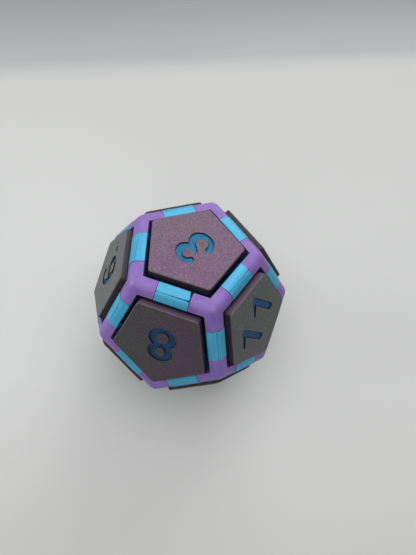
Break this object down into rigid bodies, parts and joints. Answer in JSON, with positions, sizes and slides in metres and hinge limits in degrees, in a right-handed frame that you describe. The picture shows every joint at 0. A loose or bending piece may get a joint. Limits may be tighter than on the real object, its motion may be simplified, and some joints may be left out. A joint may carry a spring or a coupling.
{
  "type": "push-button polyhedral die",
  "caption": "Dodecahedral game die whose numbered pentagonal faces are spring-loaded push buttons in a rounded two-colour body.",
  "frame": {"origin": "centre of the die, which is the centre of its box", "axes": "+Z is the normal of the face numbered 3, on top; the die stands on the face numbered 10; the face numbered 8 leans towards -Y and the face numbered 11 towards +X and -Y"},
  "size_m": [0.0836, 0.087, 0.0762],
  "materials": {
    "frame_print": "silk cyan filament, fine layer lines along the edges",
    "corner_print": "silk purple filament, fine layer lines",
    "button_print": "dark purple-grey filament with a fine sparkling grain",
    "number_print": "blue filament, print lines that follow the numeral",
    "switch_stem": "moulded blue plastic",
    "switch_base": "moulded black plastic",
    "switch_hood": "moulded dark plastic",
    "contact_metal": "stamped copper alloy",
    "spring_steel": "drawn steel wire"
  },
  "bodies": {
    "die_body": {"frame_01": "frame_print", "frame_02": "frame_print", "frame_03": "frame_print", "frame_04": "frame_print", "frame_05": "frame_print", "frame_06": "frame_print", "frame_07": "frame_print", "frame_08": "frame_print", "frame_09": "frame_print", "frame_10": "frame_print", "frame_11": "frame_print", "frame_12": "frame_print", "corner_caps_top": "corner_print", "corner_caps_upper": "corner_print", "corner_caps_lower": "corner_print", "corner_caps_bottom": "corner_print", "switch_housings_lower": "switch_base", "switch_housings_upper": "switch_hood", "switch_fixed_contacts": "contact_metal", "switch_moving_contacts": "contact_metal", "switch_springs": "spring_steel"},
    "button_01_body": {"button_01": "button_print", "number_01": "number_print", "stem_01": "switch_stem"},
    "button_02_body": {"button_02": "button_print", "number_02": "number_print", "stem_02": "switch_stem"},
    "button_03_body": {"button_03": "button_print", "number_03": "number_print", "stem_03": "switch_stem"},
    "button_04_body": {"button_04": "button_print", "number_04": "number_print", "stem_04": "switch_stem"},
    "button_05_body": {"button_05": "button_print", "number_05": "number_print", "stem_05": "switch_stem"},
    "button_06_body": {"button_06": "button_print", "number_06": "number_print", "stem_06": "switch_stem"},
    "button_07_body": {"button_07": "button_print", "number_07": "number_print", "stem_07": "switch_stem"},
    "button_08_body": {"button_08": "button_print", "number_08": "number_print", "stem_08": "switch_stem"},
    "button_09_body": {"button_09": "button_print", "number_09": "number_print", "stem_09": "switch_stem"},
    "button_10_body": {"button_10": "button_print", "number_10": "number_print", "stem_10": "switch_stem"},
    "button_11_body": {"button_11": "button_print", "number_11": "number_print", "stem_11": "switch_stem"},
    "button_12_body": {"button_12": "button_print", "number_12": "number_print", "stem_12": "switch_stem"}
  },
  "joints": [
    {"name": "press_01", "type": "slide", "parent": "die_body", "child": "button_01_body", "axis": [-0.5257, 0.7236, 0.4472], "range_m": [0, 0.004], "stiffness_N_per_m": 75, "springref_m": -0.004, "deforming": ["switch_springs"]},
    {"name": "press_02", "type": "slide", "parent": "die_body", "child": "button_02_body", "axis": [0.8507, -0.2764, 0.4472], "range_m": [0, 0.004], "stiffness_N_per_m": 75, "springref_m": -0.004, "deforming": ["switch_springs"]},
    {"name": "press_03", "type": "slide", "parent": "die_body", "child": "button_03_body", "axis": [0, 0, -1], "range_m": [0, 0.004], "stiffness_N_per_m": 75, "springref_m": -0.004, "deforming": ["switch_springs"]},
    {"name": "press_04", "type": "slide", "parent": "die_body", "child": "button_04_body", "axis": [-0.5257, -0.7236, -0.4472], "range_m": [0, 0.004], "stiffness_N_per_m": 75, "springref_m": -0.004, "deforming": ["switch_springs"]},
    {"name": "press_05", "type": "slide", "parent": "die_body", "child": "button_05_body", "axis": [0, -0.8944, 0.4472], "range_m": [0, 0.004], "stiffness_N_per_m": 75, "springref_m": -0.004, "deforming": ["switch_springs"]},
    {"name": "press_06", "type": "slide", "parent": "die_body", "child": "button_06_body", "axis": [0.8507, 0.2764, -0.4472], "range_m": [0, 0.004], "stiffness_N_per_m": 75, "springref_m": -0.004, "deforming": ["switch_springs"]},
    {"name": "press_07", "type": "slide", "parent": "die_body", "child": "button_07_body", "axis": [-0.8507, -0.2764, 0.4472], "range_m": [0, 0.004], "stiffness_N_per_m": 75, "springref_m": -0.004, "deforming": ["switch_springs"]},
    {"name": "press_08", "type": "slide", "parent": "die_body", "child": "button_08_body", "axis": [0, 0.8944, -0.4472], "range_m": [0, 0.004], "stiffness_N_per_m": 75, "springref_m": -0.004, "deforming": ["switch_springs"]},
    {"name": "press_09", "type": "slide", "parent": "die_body", "child": "button_09_body", "axis": [0.5257, 0.7236, 0.4472], "range_m": [0, 0.004], "stiffness_N_per_m": 75, "springref_m": -0.004, "deforming": ["switch_springs"]},
    {"name": "press_10", "type": "slide", "parent": "die_body", "child": "button_10_body", "axis": [0, 0, 1], "range_m": [0, 0.004], "stiffness_N_per_m": 75, "springref_m": -0.004, "deforming": ["switch_springs"]},
    {"name": "press_11", "type": "slide", "parent": "die_body", "child": "button_11_body", "axis": [-0.8507, 0.2764, -0.4472], "range_m": [0, 0.004], "stiffness_N_per_m": 75, "springref_m": -0.004, "deforming": ["switch_springs"]},
    {"name": "press_12", "type": "slide", "parent": "die_body", "child": "button_12_body", "axis": [0.5257, -0.7236, -0.4472], "range_m": [0, 0.004], "stiffness_N_per_m": 75, "springref_m": -0.004, "deforming": ["switch_springs"]}
  ]
}
